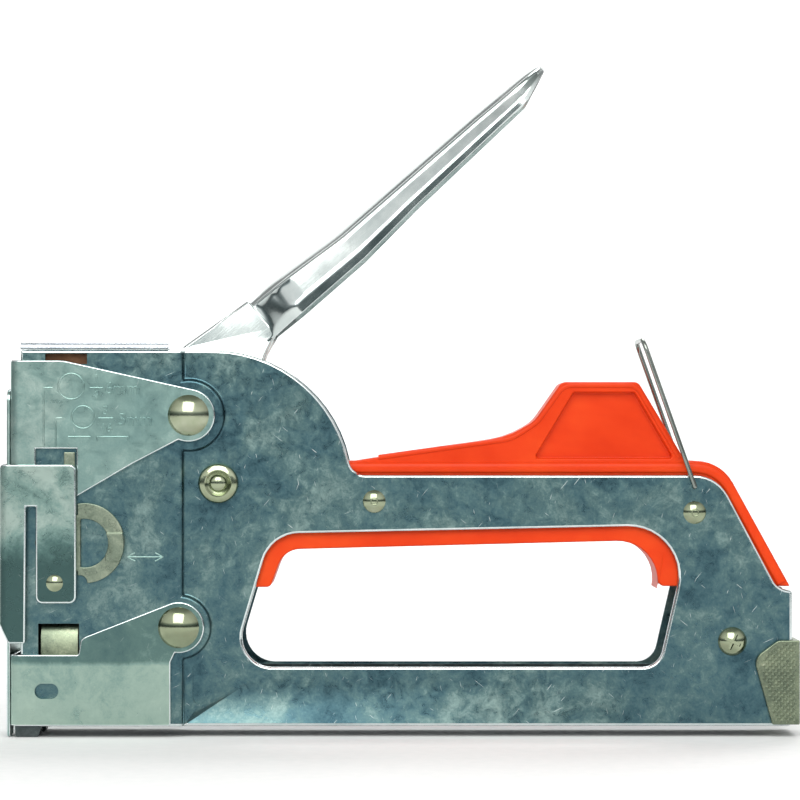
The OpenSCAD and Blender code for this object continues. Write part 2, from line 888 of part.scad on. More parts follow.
module lock_bail() {
    leg = plate_out + 0.15 + bail_wire / 2;
    r = bail_wire / 2;
    lean = 19.5;
    bend = 2.5;
    color("silver")
        translate([bail_pivot[0], 0, bail_pivot[1]]) rotate([0, -lean, 0]) {
            both_sides() {
                translate([0, plate_in + 0.1, 0]) rotate([-90, 0, 0])
                    cylinder(r = r, h = leg - plate_in - 0.1, $fn = 24);
                translate([0, leg, 0]) sphere(r, $fn = 24);
                translate([0, leg, 0]) cylinder(r = r, h = bail_l - r - bend, $fn = 24);
                translate([0, leg - bend, bail_l - r - bend]) rotate([90, 0, 90])
                    rotate_extrude(angle = 90) translate([bend, 0]) circle(r, $fn = 24);
            }
            translate([0, bend - leg, bail_l - r]) rotate([-90, 0, 0])
                cylinder(r = r, h = 2 * (leg - bend), $fn = 24);
        }
}

side_plate_left();
side_plate_right();
top_cap();
upper_cover();
lower_cover();
front_plate();
nose_guide();
selector_bracket();
bracket_rivets();
selector_slide();
selector_pin();
grip_insert();
lever();
lever_pivot();
cover_rivets();
grip_rivets();
rear_spacer();
rear_screw();
rear_nut();
plunger();
driver_blade();
main_spring();
spring_stop();
bumper();
feed_leaves();
magazine_channel();
staple_strip();
pusher();
guide_rod();
pusher_spring();
rear_catch();
lock_bail();
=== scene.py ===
# %% [markdown]
# A hand staple gun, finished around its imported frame. The frame holds every pressed plate,
# rivet and moving piece at its real size in metres: X runs from the nose to the rear, Y across
# the tool and Z up. This lesson gives the pieces soft pressed edges, rebuilds the ones whose
# curves matter most as worked-out surfaces, and then gives each piece the finish of what it is
# made from.

# %% Load the frame
import json
import math

import bmesh
import bpy
import numpy as np
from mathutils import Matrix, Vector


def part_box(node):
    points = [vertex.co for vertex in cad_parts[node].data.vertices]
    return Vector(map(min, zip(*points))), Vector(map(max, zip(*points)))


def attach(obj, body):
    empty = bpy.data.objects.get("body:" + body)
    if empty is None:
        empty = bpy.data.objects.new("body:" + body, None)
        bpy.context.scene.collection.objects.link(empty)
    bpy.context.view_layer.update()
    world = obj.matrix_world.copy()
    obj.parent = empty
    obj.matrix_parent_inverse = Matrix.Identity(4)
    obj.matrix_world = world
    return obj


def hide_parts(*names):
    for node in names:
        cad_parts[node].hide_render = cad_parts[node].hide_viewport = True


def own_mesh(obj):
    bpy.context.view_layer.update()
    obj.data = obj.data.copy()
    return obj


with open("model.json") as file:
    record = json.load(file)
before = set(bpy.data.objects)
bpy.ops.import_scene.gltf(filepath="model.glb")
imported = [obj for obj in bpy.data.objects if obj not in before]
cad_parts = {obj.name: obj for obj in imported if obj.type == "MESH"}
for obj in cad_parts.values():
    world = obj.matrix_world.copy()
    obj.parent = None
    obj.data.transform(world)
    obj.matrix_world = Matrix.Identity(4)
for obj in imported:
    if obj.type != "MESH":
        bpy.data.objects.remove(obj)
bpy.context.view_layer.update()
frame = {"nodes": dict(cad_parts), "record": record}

MM = 0.001
CAD_OBJECTS = frame["nodes"]
BODY_OF = {
    node: body for body, nodes in frame["record"]["behaviour"]["bodies"].items() for node in nodes}
JOINTS = {joint["name"]: joint for joint in frame["record"]["behaviour"]["joints"]}

# %% [markdown]
# The studio comes first, because a plated tool is mostly a picture of the room around it. The
# floor is one pale sweep that curves up behind the tool, so there's no hard horizon. The camera
# stands square to the tool's left side, level with the middle of its height, with a long lens,
# which is how catalogue pictures keep a flat tool flat.

# %% Camera and sweep
SENSOR = 36.0
CAMERA_AWAY = 0.6
CAMERA_HEIGHT = 0.066
VIEW_CENTRE = 0.0725
VIEW_WIDTH = 0.172
NEAR_FACE = 0.008

scene = bpy.context.scene
camera_data = bpy.data.cameras.new("camera")
camera_data.sensor_width = SENSOR
camera_data.lens = SENSOR * (CAMERA_AWAY - NEAR_FACE) / VIEW_WIDTH
camera_data.clip_start = 0.02
camera_data.shift_y = (VIEW_CENTRE - CAMERA_HEIGHT) / VIEW_WIDTH
camera = bpy.data.objects.new("camera", camera_data)
camera.location = (0, -CAMERA_AWAY, CAMERA_HEIGHT)
camera.rotation_euler = (math.radians(90), 0, 0)
scene.collection.objects.link(camera)
scene.camera = camera
scene.view_settings.view_transform = "Standard"
print("lens in mm:", round(camera_data.lens, 1))


def mesh_object(name, points, faces):
    """A new object with the mesh of these points and faces, placed by its points alone."""
    mesh = bpy.data.meshes.new(name)
    mesh.from_pydata([tuple(p) for p in points], [], [tuple(f) for f in faces])
    mesh.validate()
    mesh.update()
    made = bpy.data.objects.new(name, mesh)
    scene.collection.objects.link(made)
    return made


def grid_faces(rows, columns, close_rows=False, close_columns=False):
    """Quads of a rows-by-columns grid of points, as an array of four point numbers each."""
    row = np.arange(rows if close_rows else rows - 1)[:, None]
    column = np.arange(columns if close_columns else columns - 1)[None, :]
    next_row = (row + 1) % rows
    next_column = (column + 1) % columns
    quads = [row * columns + column, next_row * columns + column,
             next_row * columns + next_column, row * columns + next_column]
    return np.stack(np.broadcast_arrays(*quads), -1).reshape(-1, 4)


def move_points(mesh, rule):
    """Moves all points of a mesh at once, by a rule from their places to new places."""
    place = np.empty(len(mesh.vertices) * 3)
    mesh.vertices.foreach_get("co", place)
    mesh.vertices.foreach_set("co", rule(place.reshape(-1, 3)).ravel())


def floor_sweep():
    """A floor that turns up into a wall: flat, then a quarter circle, then straight up."""
    flat_run, turn, height, width = 1.2, 0.8, 1.1, 4.0
    angle = np.linspace(0, np.pi / 2, 24)
    y = np.concatenate([[-2.0], flat_run + turn * np.sin(angle), [flat_run + turn]])
    z = np.concatenate([[0.0], turn - turn * np.cos(angle), [height]])
    x = np.array([-width, width])
    points = np.stack([
        np.repeat(x, len(y)), np.tile(y, 2), np.tile(z, 2)], -1)
    made = mesh_object("floor_sweep", points, grid_faces(2, len(y)))
    made.data.polygons.foreach_set("use_smooth", [True] * len(made.data.polygons))
    return made


floor = floor_sweep()

# %% [markdown]
# Finishes are made of nodes. One helper adds a node, sets its values and joins its inputs, and
# one function turns the hex colour that a painter would pick on a screen into the linear light
# that the shader needs.

# %% Node helpers
def linear(hex_colour):
    """sRGB hex to linear RGBA: the standard curve, channel by channel."""
    parts = [int(hex_colour[i:i + 2], 16) / 255 for i in (1, 3, 5)]
    light = [c / 12.92 if c <= 0.04045 else ((c + 0.055) / 1.055) ** 2.4 for c in parts]
    return tuple(light) + (1.0,)


def add(tree, kind, values=None, links=None, **settings):
    """Adds one node: settings are its properties, values its sockets, links what feeds them."""
    node = tree.nodes.new(kind)
    for key, value in settings.items():
        setattr(node, key, value)
    for key, value in (values or {}).items():
        node.inputs[key].default_value = value
    for key, source in (links or {}).items():
        tree.links.new(source, node.inputs[key])
    return node


def new_material(name):
    """An empty material with its shader: returns the material, its tree and the shader."""
    material = bpy.data.materials.new(name)
    material.use_nodes = True
    tree = material.node_tree
    tree.nodes.clear()
    shader = add(tree, "ShaderNodeBsdfPrincipled")
    add(tree, "ShaderNodeOutputMaterial", links={"Surface": shader.outputs[0]})
    return material, tree, shader


def noise(tree, where, size_mm, detail=3.0, rough=0.55, stretch=(1, 1, 1), turn=(0, 0, 0),
          shift=0.0, swirl=0.0):
    """Cloudy noise whose blobs are about size_mm across, stretched and turned as asked."""
    turned = add(tree, "ShaderNodeMapping", {
        "Rotation": tuple(math.radians(a) for a in turn)}, {"Vector": where})
    moved = add(tree, "ShaderNodeMapping", {
        "Scale": stretch, "Location": (shift, shift * 0.7, shift * 1.3)},
        {"Vector": turned.outputs[0]})
    return add(tree, "ShaderNodeTexNoise", {
        "Scale": 1 / (size_mm * MM), "Detail": detail, "Roughness": rough, "Distortion": swirl},
        {"Vector": moved.outputs[0]}).outputs["Fac"]


def ramp(tree, source, stops):
    """A colour ramp; stops are (place, hex colour)."""
    node = add(tree, "ShaderNodeValToRGB", links={"Fac": source})
    bands = node.color_ramp.elements
    while len(bands) < len(stops):
        bands.new(0.5)
    for band, (place, colour) in zip(bands, stops):
        band.position = place
        band.color = linear(colour)
    return node.outputs["Color"]


def between(tree, source, low, high, to_low=0.0, to_high=1.0):
    """Maps a value from low..high to to_low..to_high, and holds it there."""
    return add(tree, "ShaderNodeMapRange", {
        "From Min": low, "From Max": high, "To Min": to_low, "To Max": to_high},
        {"Value": source}).outputs["Result"]


def mixed(tree, amount, colour, hex_colour):
    """A varying colour turned into one fixed colour where the amount is 1."""
    node = add(tree, "ShaderNodeMix", data_type="RGBA")
    factor, first, second = (node.inputs[i] for i in (0, 6, 7))
    tree.links.new(amount, factor)
    tree.links.new(colour, first)
    second.default_value = linear(hex_colour)
    return node.outputs[2]


def math_node(tree, how, first, second):
    """One sum on two values, each a socket or a number."""
    node = add(tree, "ShaderNodeMath", operation=how)
    for i, value in enumerate((first, second)):
        if isinstance(value, (int, float)):
            node.inputs[i].default_value = value
        else:
            tree.links.new(value, node.inputs[i])
    return node.outputs[0]


def bump(tree, shader, height, deep_mm):
    """Surface relief: a height from 0 to 1 that is deep_mm deep."""
    node = add(tree, "ShaderNodeBump", {"Strength": 1.0, "Distance": deep_mm * MM},
               {"Height": height})
    tree.links.new(node.outputs[0], shader.inputs["Normal"])


# %% [markdown]
# A plated sheet that stands square to the camera mirrors the room behind the camera, so the
# room is dark at eye level, which gives the plates their depth. Above that it's a broad white
# softbox, which draws the bright patch on each rivet's dome and, together with the rims' painted
# highlight, the white line along every rolled top edge. Overhead it falls off to grey, and behind
# the tool it's dimmer. The world is a gradient by direction, which costs nothing and never
# flickers.

# %% Room light
def room():
    """World light as a gradient: grey below, dark at eye level, white above that."""
    world = bpy.data.worlds.new("soft_room")
    scene.world = world
    world.use_nodes = True
    tree = world.node_tree
    tree.nodes.clear()
    where = add(tree, "ShaderNodeTexCoord").outputs["Generated"]
    part = add(tree, "ShaderNodeSeparateXYZ", links={"Vector": where})
    level = between(tree, part.outputs["Z"], -1.0, 1.0)
    tone = ramp(tree, level, [
        (0.0, "#9C9E90"), (0.44, "#50585A"), (0.545, "#5A6466"), (0.60, "#A4ACAE"),
        (0.64, "#FFFFFF"), (0.88, "#FFFFFF"), (0.96, "#B4BAB8")])
    front = between(tree, part.outputs["Y"], 0.3, -0.75, 0.3, 1.0)
    strength = math_node(tree, "MULTIPLY", front, 1.15)
    back = add(tree, "ShaderNodeBackground", links={"Color": tone, "Strength": strength})
    add(tree, "ShaderNodeOutputWorld", links={"Surface": back.outputs[0]})


def soft_light(name, place, aim, size, watts, colour="#FFFFFF"):
    """A square area light at place that faces aim."""
    data = bpy.data.lights.new(name, "AREA")
    data.size = size
    data.energy = watts
    data.color = linear(colour)[:3]
    made = bpy.data.objects.new(name, data)
    made.location = place
    towards = np.array(aim, float) - np.array(place, float)
    flat = math.hypot(towards[0], towards[1])
    made.rotation_euler = (math.atan2(flat, -towards[2]), 0, math.atan2(-towards[0], towards[1]))
    scene.collection.objects.link(made)


room()
soft_light("key", (-0.1, -0.95, 0.82), (0, 0, 0.06), 0.95, 9.5, "#FFFEFA")
soft_light("wall_wash", (0, 0.9, 0.95), (0, 2.0, 0.4), 1.2, 10)
soft_light("rim", (0.1, 0.6, 0.9), (0, 0, 0.06), 0.6, 5)

material, tree, shader = new_material("pale_paper_floor")
where = add(tree, "ShaderNodeTexCoord").outputs["Object"]
fibre = noise(tree, where, 3.0)
tree.links.new(ramp(tree, fibre, [(0.3, "#F3F4F4"), (0.7, "#F8F8F8")]), shader.inputs["Base Color"])
shader.inputs["Roughness"].default_value = 0.9
floor.data.materials.append(material)

# %% [markdown]
# Plated sheet steel. The pressings are cold-rolled steel, plated with zinc and chromated, which
# leaves a blue-green grey that is cloudy at the scale of a fingertip, speckled at the scale of a
# grain of salt, and crossed by short bright scratches from the tumbling barrel. A plain mirror
# with noise in its roughness looks like clean chrome, so the clouds go into the colour as well.

# %% Plated sheet
def scratches(tree, where, turn, shift, length_mm, thin_mm, share):
    """Short hairlines along one direction: noise stretched long and cut at its peaks."""
    thin = noise(tree, where, thin_mm, 0.0, 0.5, (thin_mm / length_mm, 1, 1), (0, turn, 0), shift)
    return between(tree, thin, share, share + 0.05)


def plated(name, stops, shine=(0.24, 0.42), cloud_mm=13.0, speckle=0.5, marks=1.0,
           relief_mm=0.012, painted_light_by_height=None):
    """Chromated zinc on pressed steel: clouds and speckle in colour and gloss, fine scratches.

    The last argument is (low mm, high mm, low tone, high tone): painted light and shade, a tone
    added by height that stands in for a sheet that leans and so takes its light unevenly."""
    material, tree, shader = new_material(name)
    where = add(tree, "ShaderNodeTexCoord").outputs["Object"]
    clouds = noise(tree, where, cloud_mm, 5.0, 0.62, swirl=0.5)
    small = noise(tree, where, cloud_mm / 5, 4.0, 0.7, shift=3.1, swirl=0.8)
    grain = noise(tree, where, 0.38, 2.0, 0.7, shift=1.7)
    tone = math_node(tree, "ADD", math_node(tree, "MULTIPLY", clouds, 0.7),
                     math_node(tree, "MULTIPLY", small, 0.3))
    tone = math_node(tree, "ADD", tone, math_node(tree, "MULTIPLY",
                     math_node(tree, "SUBTRACT", grain, 0.5), 0.3 * speckle))
    # Painted light and shade: the tone is raised or lowered by height
    if painted_light_by_height:
        height = add(tree, "ShaderNodeSeparateXYZ", links={"Vector": where}).outputs["Z"]
        tone = math_node(tree, "ADD", tone, between(
            tree, height, painted_light_by_height[0] * MM, painted_light_by_height[1] * MM, painted_light_by_height[2], painted_light_by_height[3]))
    colour = ramp(tree, tone, stops)
    lines = scratches(tree, where, 24, 0.0, 6.0, 0.16, 0.86)
    for turn, shift, length in ((-38, 2.3, 3.0), (72, 5.1, 2.2), (-75, 8.7, 2.6), (50, 12.9, 3.4)):
        more = scratches(tree, where, turn, shift, length, 0.16, 0.87)
        lines = math_node(tree, "MAXIMUM", lines, more)
    lines = math_node(tree, "MULTIPLY", lines, 0.8 * marks)
    tree.links.new(mixed(tree, lines, colour, "#DDE6E4"), shader.inputs["Base Color"])
    shader.inputs["Metallic"].default_value = 1.0
    gloss = math_node(tree, "ADD", between(tree, small, 0.3, 0.7, shine[0], shine[1]),
                      math_node(tree, "MULTIPLY", lines, 0.15))
    tree.links.new(gloss, shader.inputs["Roughness"])
    waves = noise(tree, where, 7.0, 2.0, 0.5, shift=6.2)
    height = math_node(tree, "ADD", math_node(tree, "MULTIPLY", waves, 4.0),
                       math_node(tree, "SUBTRACT", grain, lines))
    bump(tree, shader, height, relief_mm)
    return material


# The side plates are the darkest: blue-green, and cloudy all over
sheet = plated("chromated_zinc_sheet", [
    (0.35, "#3A5660"), (0.45, "#4F6E76"), (0.53, "#617E80"), (0.66, "#8DA5A1")])
# The covers took the chromate more evenly, so they are paler and have fewer scratches
cover_sheet = plated("bright_zinc_sheet", [
    (0.30, "#799A98"), (0.5, "#92B0AA"), (0.66, "#B4C8C0")], (0.26, 0.38), 18.0, 0.5, 0.5)
# The cap has clear plating, which leaves it almost white
cap_sheet = plated("clear_zinc_sheet", [
    (0.30, "#D3DBE6"), (0.5, "#E0E7EE"), (0.66, "#F0F4F6")], (0.12, 0.22), 15.0, 0.4, 0.5)
# The lower cover's panel is painted paler below 16 mm: painted light, for its lower part turning to
# the light below its arm
lower_sheet = plated("zinc_sheet_painted_light_below", [
    (0.2, "#4F6C6E"), (0.42, "#67847F"), (0.56, "#8BA8A0"), (0.66, "#A3BCB0"), (0.85, "#B6CCBE")],
    (0.26, 0.38), 18.0, 0.4, 0.3, painted_light_by_height=(15.4, 16.6, 0.16, -0.1))
# Rolled rims get a near-white, glossier copy of the zinc: a painted highlight for the white line
# along them
rim_painted_highlight = plated("zinc_rim_painted_highlight", [
    (0.30, "#C2CFD0"), (0.5, "#DCE6E6"), (0.66, "#F0F4F4")], (0.1, 0.2), 9.0, 0.5, 0.0, 0.004)
# The bracket is painted darker downwards and paler at its top: painted shade and light, for its tab
# leaning away from the light
bracket_sheet = plated("zinc_sheet_painted_shade_below", [
    (0.28, "#4B6664"), (0.44, "#64837F"), (0.58, "#8FACA5"), (0.72, "#B4C8BF")],
    (0.24, 0.36), 12.0, 0.5, 0.7, painted_light_by_height=(36, 46, -0.34, 0.16))

# %% [markdown]
# Chrome on the lever is polished before it's plated, so it mirrors the room almost cleanly. What
# stops it from looking like a computer's mirror is a slow ripple from pressing, some haze, and
# faint polishing lines along its length.

# %% Chrome and nickel
def polished(name, stops, shine, ripple_mm, line_turn=0.0):
    """Polished plating: near-mirror, with a slow ripple, haze and faint lines."""
    material, tree, shader = new_material(name)
    where = add(tree, "ShaderNodeTexCoord").outputs["Object"]
    haze = noise(tree, where, 9.0, 4.0, 0.6)
    lines = noise(tree, where, 0.35, 1.0, 0.5, (0.03, 1, 1), (0, line_turn, 0))
    tree.links.new(ramp(tree, haze, stops), shader.inputs["Base Color"])
    shader.inputs["Metallic"].default_value = 1.0
    gloss = math_node(tree, "ADD", between(tree, haze, 0.3, 0.75, shine[0], shine[1]),
                      math_node(tree, "MULTIPLY", lines, 0.05))
    tree.links.new(gloss, shader.inputs["Roughness"])
    swell = noise(tree, where, 11.0, 1.0, 0.4, shift=4.4)
    height = math_node(tree, "ADD", math_node(tree, "MULTIPLY", swell, 8.0), lines)
    bump(tree, shader, height, ripple_mm)
    return material


chrome = polished("bright_chrome_plate", [
    (0.3, "#B9C3C2"), (0.6, "#D2DAD8"), (0.75, "#E2E8E6")], (0.06, 0.16), 0.004, 42.0)
# Nickel is warmer than chrome, which shows as a faint straw colour in the rivets' domes
nickel = polished("polished_nickel", [
    (0.3, "#939C80"), (0.55, "#A3AC90"), (0.7, "#B4BAA2")], (0.07, 0.15), 0.002)
# Drawn wire keeps the die's fine lines, so it is duller than plating
wire_bright = polished("drawn_bright_wire", [
    (0.3, "#7C827E"), (0.6, "#989E98"), (0.75, "#B2B6B0")], (0.16, 0.26), 0.001)
# Yellow chromate on the small moving pieces; the selector's ring is rubbed brighter
zinc_yellow = plated("pale_yellow_zinc", [
    (0.3, "#566052"), (0.45, "#707B69"), (0.6, "#8D977F"), (0.72, "#AEB49A")],
    (0.24, 0.4), 9.0, 0.8)
ring_zinc = plated("bright_yellow_zinc", [
    (0.3, "#6E7B6A"), (0.45, "#869382"), (0.6, "#A3AD98"), (0.72, "#C2C8B2")],
    (0.24, 0.4), 9.0, 0.8)
# Hardened and oiled steel inside: dark, with a dull shine
tool_steel = plated("oiled_tool_steel", [
    (0.3, "#3C4243"), (0.5, "#565E5F"), (0.68, "#747C7C")], (0.26, 0.42), 10.0, 0.6, 0.7)
spring_wire = plated("oil_tempered_wire", [
    (0.3, "#2E3132"), (0.5, "#454A4B"), (0.7, "#666B6B")], (0.28, 0.4), 6.0, 0.6, 0.2)

# %% [markdown]
# The grip is injection-moulded in glossy orange-red polypropylene. Moulded plastic is never one
# colour: the skin is a touch lighter where it has been rubbed, it has a fine orange-peel texture
# about half a millimetre across, and light sinks slightly into it.

# %% Moulded plastic, fibre and rubber
def moulded(name, stops, shine, peel_mm, peel_deep, sink=0.0, blotch_mm=14.0):
    """A moulded or pressed non-metal: blotchy colour, a fine peel, and a soft gloss."""
    material, tree, shader = new_material(name)
    where = add(tree, "ShaderNodeTexCoord").outputs["Object"]
    blotch = noise(tree, where, blotch_mm, 3.0, 0.55)
    peel = noise(tree, where, peel_mm, 2.0, 0.5, shift=2.0)
    flow = noise(tree, where, 2.4, 3.0, 0.5, (0.2, 1, 1), (0, -12, 0), 5.0)
    tone = math_node(tree, "ADD", math_node(tree, "MULTIPLY", blotch, 0.8),
                     math_node(tree, "MULTIPLY", flow, 0.2))
    tree.links.new(ramp(tree, tone, stops), shader.inputs["Base Color"])
    tree.links.new(between(tree, blotch, 0.3, 0.7, shine[0], shine[1]), shader.inputs["Roughness"])
    shader.inputs["Specular IOR Level"].default_value = 0.2
    if sink:
        shader.inputs["Subsurface Weight"].default_value = sink
        shader.inputs["Subsurface Radius"].default_value = (1.0, 0.3, 0.15)
        shader.inputs["Subsurface Scale"].default_value = 1.2 * MM
    bump(tree, shader, peel, peel_deep)
    return material


red_plastic = moulded("orange_red_polypropylene", [
    (0.3, "#D63506"), (0.5, "#DF3D0A"), (0.7, "#E64B12")], (0.32, 0.45), 0.5, 0.012, 0.08)
fibre_board = moulded("pressed_fibre", [
    (0.3, "#4E3524"), (0.5, "#6A4A33"), (0.7, "#826049")], (0.6, 0.8), 0.35, 0.03, 0.0, 3.0)
rubber = moulded("moulded_rubber", [
    (0.3, "#141414"), (0.6, "#1E1E1E"), (0.8, "#2A2A2A")], (0.6, 0.75), 0.4, 0.02)
print("finishes:", len(bpy.data.materials))

# %% [markdown]
# Pressed sheet has no sharp corners: the die rolls one edge over and the barrel rounds the rest.
# A bevel gives that, but the frame's pieces are loose triangles, which a bevel can't follow. So a
# copy is merged, its flat faces are joined up again, and the copy is bevelled and stands for the
# original. The width is the radius that the real edge has.

# %% Soft edges
FOLD_TURN = 40.0  # degrees an edge turns by before it counts as a pressed edge
FLAT_WITHIN = 0.4  # degrees between triangles that still make one flat face


def merged_copy(name, node):
    """A copy of a frame node's mesh with shared points and whole flat faces."""
    source = CAD_OBJECTS[node]
    copy = bpy.data.objects.new(name, source.data.copy())
    copy.data.materials.clear()
    scene.collection.objects.link(copy)
    work = bmesh.new()
    work.from_mesh(copy.data)
    bmesh.ops.remove_doubles(work, verts=work.verts, dist=0.002 * MM)
    bmesh.ops.dissolve_limit(
        work, angle_limit=math.radians(FLAT_WITHIN), verts=work.verts, edges=work.edges)
    work.to_mesh(copy.data)
    work.free()
    for layer in list(copy.data.attributes):
        if layer.name == "custom_normal":
            copy.data.attributes.remove(layer)
    return copy


def smooth(piece, angle):
    """Shades smoothly, apart from edges that turn by more than the angle."""
    mesh = piece.data
    mesh.polygons.foreach_set("use_smooth", [True] * len(mesh.polygons))
    mesh.set_sharp_from_angle(angle=math.radians(angle))


def rim_edges(work, least_span, beyond):
    """Sharp edges that belong to a long connected rim, not to a hole or a small window.

    Only edges with both ends further from the middle plane than beyond (mm) count, so that a
    rim rolled on its outer side keeps its inner side square."""
    sharp = {e for e in work.edges
             if len(e.link_faces) == 2 and e.calc_face_angle(0) > math.radians(FOLD_TURN)}
    kept = []
    while sharp:
        rim, waiting = set(), [sharp.pop()]
        while waiting:
            edge = waiting.pop()
            rim.add(edge)
            touching = {e for v in edge.verts for e in v.link_edges if e in sharp}
            sharp -= touching
            waiting.extend(touching)
        ends = np.array([v.co[:] for e in rim for v in e.verts])
        if np.linalg.norm(ends.max(0) - ends.min(0)) > least_span * MM:
            kept.extend(e for e in rim if min(abs(v.co.y) for v in e.verts) > beyond * MM)
    return kept


def roll_rims(piece, width_mm, least_span, beyond=0.0, rim_material=-1, fold_box=None):
    """Rounds the long rims of a piece and leaves its holes as they are.

    rim_material is the place of the rims' painted-highlight finish in the piece's list, or -1.
    Edges inside fold_box (low x, low z, high x, high z in mm) are pressed folds, which keep the
    sheet's."""
    work = bmesh.new()
    work.from_mesh(piece.data)
    for kind in ("pressed_fold", "rolled_rim"):
        work.edges.layers.float.new(kind)
    layers = work.edges.layers.float
    for edge in rim_edges(work, least_span, beyond):
        middle = (edge.verts[0].co + edge.verts[1].co) / (2 * MM)
        folded = (fold_box and fold_box[0] < middle.x < fold_box[2]
                  and fold_box[1] < middle.z < fold_box[3])
        edge[layers["pressed_fold" if folded else "rolled_rim"]] = 1.0
    work.to_mesh(piece.data)
    work.free()
    for kind, finish in (("pressed_fold", -1), ("rolled_rim", rim_material)):
        if kind == "pressed_fold" and not fold_box:
            continue
        bevel = piece.modifiers.new(kind, "BEVEL")
        bevel.width = width_mm * MM
        bevel.segments = 3
        bevel.limit_method = "WEIGHT"
        bevel.edge_weight = kind
        bevel.use_clamp_overlap = False
        bevel.harden_normals = True
        bevel.material = finish


def softened(node, body, material, width_mm, least_span, beyond=0.0, fold_box=None):
    """Stands a smooth copy with rolled rims for a frame node; plated sheet gets a painted rim
    highlight.
    """
    piece = merged_copy(node + "_finished", node)
    smooth(piece, FOLD_TURN)
    piece.data.materials.append(material)
    # Plated sheet's rims get a near-white finish: a painted highlight along the rolled edges
    gets_rim_highlight = material in (sheet, cover_sheet, lower_sheet, bracket_sheet, cap_sheet)
    if gets_rim_highlight:
        piece.data.materials.append(rim_painted_highlight)
    if width_mm:
        roll_rims(piece, width_mm, least_span, beyond, 1 if gets_rim_highlight else -1, fold_box)
    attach(piece, body)
    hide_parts(node)
    return piece


# %% [markdown]
# The table below names each finished frame piece, its finish and the radius of its edges. The
# side plates' edges are rolled the most, because their rims are what a hand meets. The step
# between their raised front and the rest is a soft fold that doesn't get the rims' painted
# highlight. Rivets, the screw, the wire bail and the hardened foot keep the edges that the frame
# gives them.

# %% Finished frame pieces
STEP_BOX = (-49, 4, -37.2, 81.5)
FINISHED = [
    # piece, finish, rim radius mm, shortest rim mm, outer side only beyond mm, box of soft folds
    ("side_plate_left", sheet, 0.58, 40, 7.9, STEP_BOX),
    ("side_plate_right", sheet, 0.58, 40, 7.9, STEP_BOX),
    ("top_cap", cap_sheet, 0.15, 10), ("upper_cover", cover_sheet, 0.3, 20),
    ("lower_cover", lower_sheet, 0.3, 20), ("front_plate", cover_sheet, 0.25, 20),
    ("selector_bracket", bracket_sheet, 0.4, 20), ("nose_guide", tool_steel, 0, 0),
    ("selector_slide", ring_zinc, 0.2, 10), ("grip_insert", red_plastic, 0.35, 15),
    ("rear_catch", zinc_yellow, 0.3, 15), ("feed_leaves", zinc_yellow, 0.08, 3),
    ("lever_pivot", nickel, 0, 0), ("cover_rivets", nickel, 0, 0), ("grip_rivets", nickel, 0, 0),
    ("bracket_rivets", nickel, 0, 0), ("rear_screw", nickel, 0, 0), ("rear_nut", nickel, 0.2, 2),
    ("lock_bail", wire_bright, 0, 0), ("spring_stop", fibre_board, 0.2, 5),
]
for node, material, width, *limits in FINISHED:
    softened(node, BODY_OF[node], material, width, *limits)
print("softened pieces:", len(FINISHED))

PLAIN = {
    "selector_pin": tool_steel, "rear_spacer": tool_steel, "plunger": tool_steel,
    "driver_blade": tool_steel, "bumper": rubber, "magazine_channel": tool_steel,
    "pusher": tool_steel, "guide_rod": tool_steel,
}
for node, material in PLAIN.items():
    source = CAD_OBJECTS[node]
    source.data.materials.clear()
    source.data.materials.append(material)

# %% [markdown]
# The lever is one strip of steel folded to a channel: broad and shallow where the hand squeezes
# it, and pinched to a narrow neck where it enters the housing. A box with a hollow can't show how
# the folds soften and the walls flare, so the grip is a surface: a channel section carried along
# the lever, whose width, height and depth change with the distance from the bend.

# %% Lever grip
GRIP_ANGLE = math.radians(42.2)
pivot = JOINTS["lever_squeeze"]["pos_m"]
BEND = np.array([pivot[0] + 6.2 * MM, pivot[2] + 37.6 * MM])
GRIP_LENGTH = 82.7
GRIP_HALF = 9.5
NECK_HALF = 5.6
NECK_LEAN = 1.5
SHEET = 1.2
NECK_LIP, NECK_DEEP = -8.3, 9.8
HOUSING_TOP = 81
LEAN_RUN = 3


def eased(t):
    """Smooth step from 0 to 1."""
    t = np.clip(t, 0, 1)
    return t * t * (3 - 2 * t)


def half_section(top_half, lip_half, top, low, lip, radius, crown):
    """Left half of the channel, from the lip up over the shoulder to the middle of the top.

    The rim stands upright for the lip's height, the wall leans in above it, a quarter circle
    turns it over, and the top rises to the middle as a parabola. One value per station."""
    a, h, t, l, p, r, c = (np.asarray(v, float)[:, None] + np.zeros((len(top), 1))
                           for v in (top_half, lip_half, top, low, lip, radius, crown))
    rim = np.linspace(0, 1, 4)[None, :]
    wall = np.linspace(0, 1, 7)[None, 1:-1]
    turn = np.linspace(0, np.pi / 2, 9)[None, :]
    across = np.linspace(-1, 0, 9)[None, 1:]
    y = np.hstack([-h + 0 * rim, -h + (h - a) * wall, -a + r * (1 - np.cos(turn)),
                   (a - r) * across])
    z = np.hstack([l + p * rim, l + p + (t - r - l - p) * wall, t - r + r * np.sin(turn),
                   t + c * (1 - across ** 2)])
    return y, z


def whole_section(*values):
    """Both halves of the channel, left lip to right lip."""
    y, z = half_section(*values)
    return np.hstack([y, -y[:, -2::-1]]), np.hstack([z, z[:, -2::-1]])


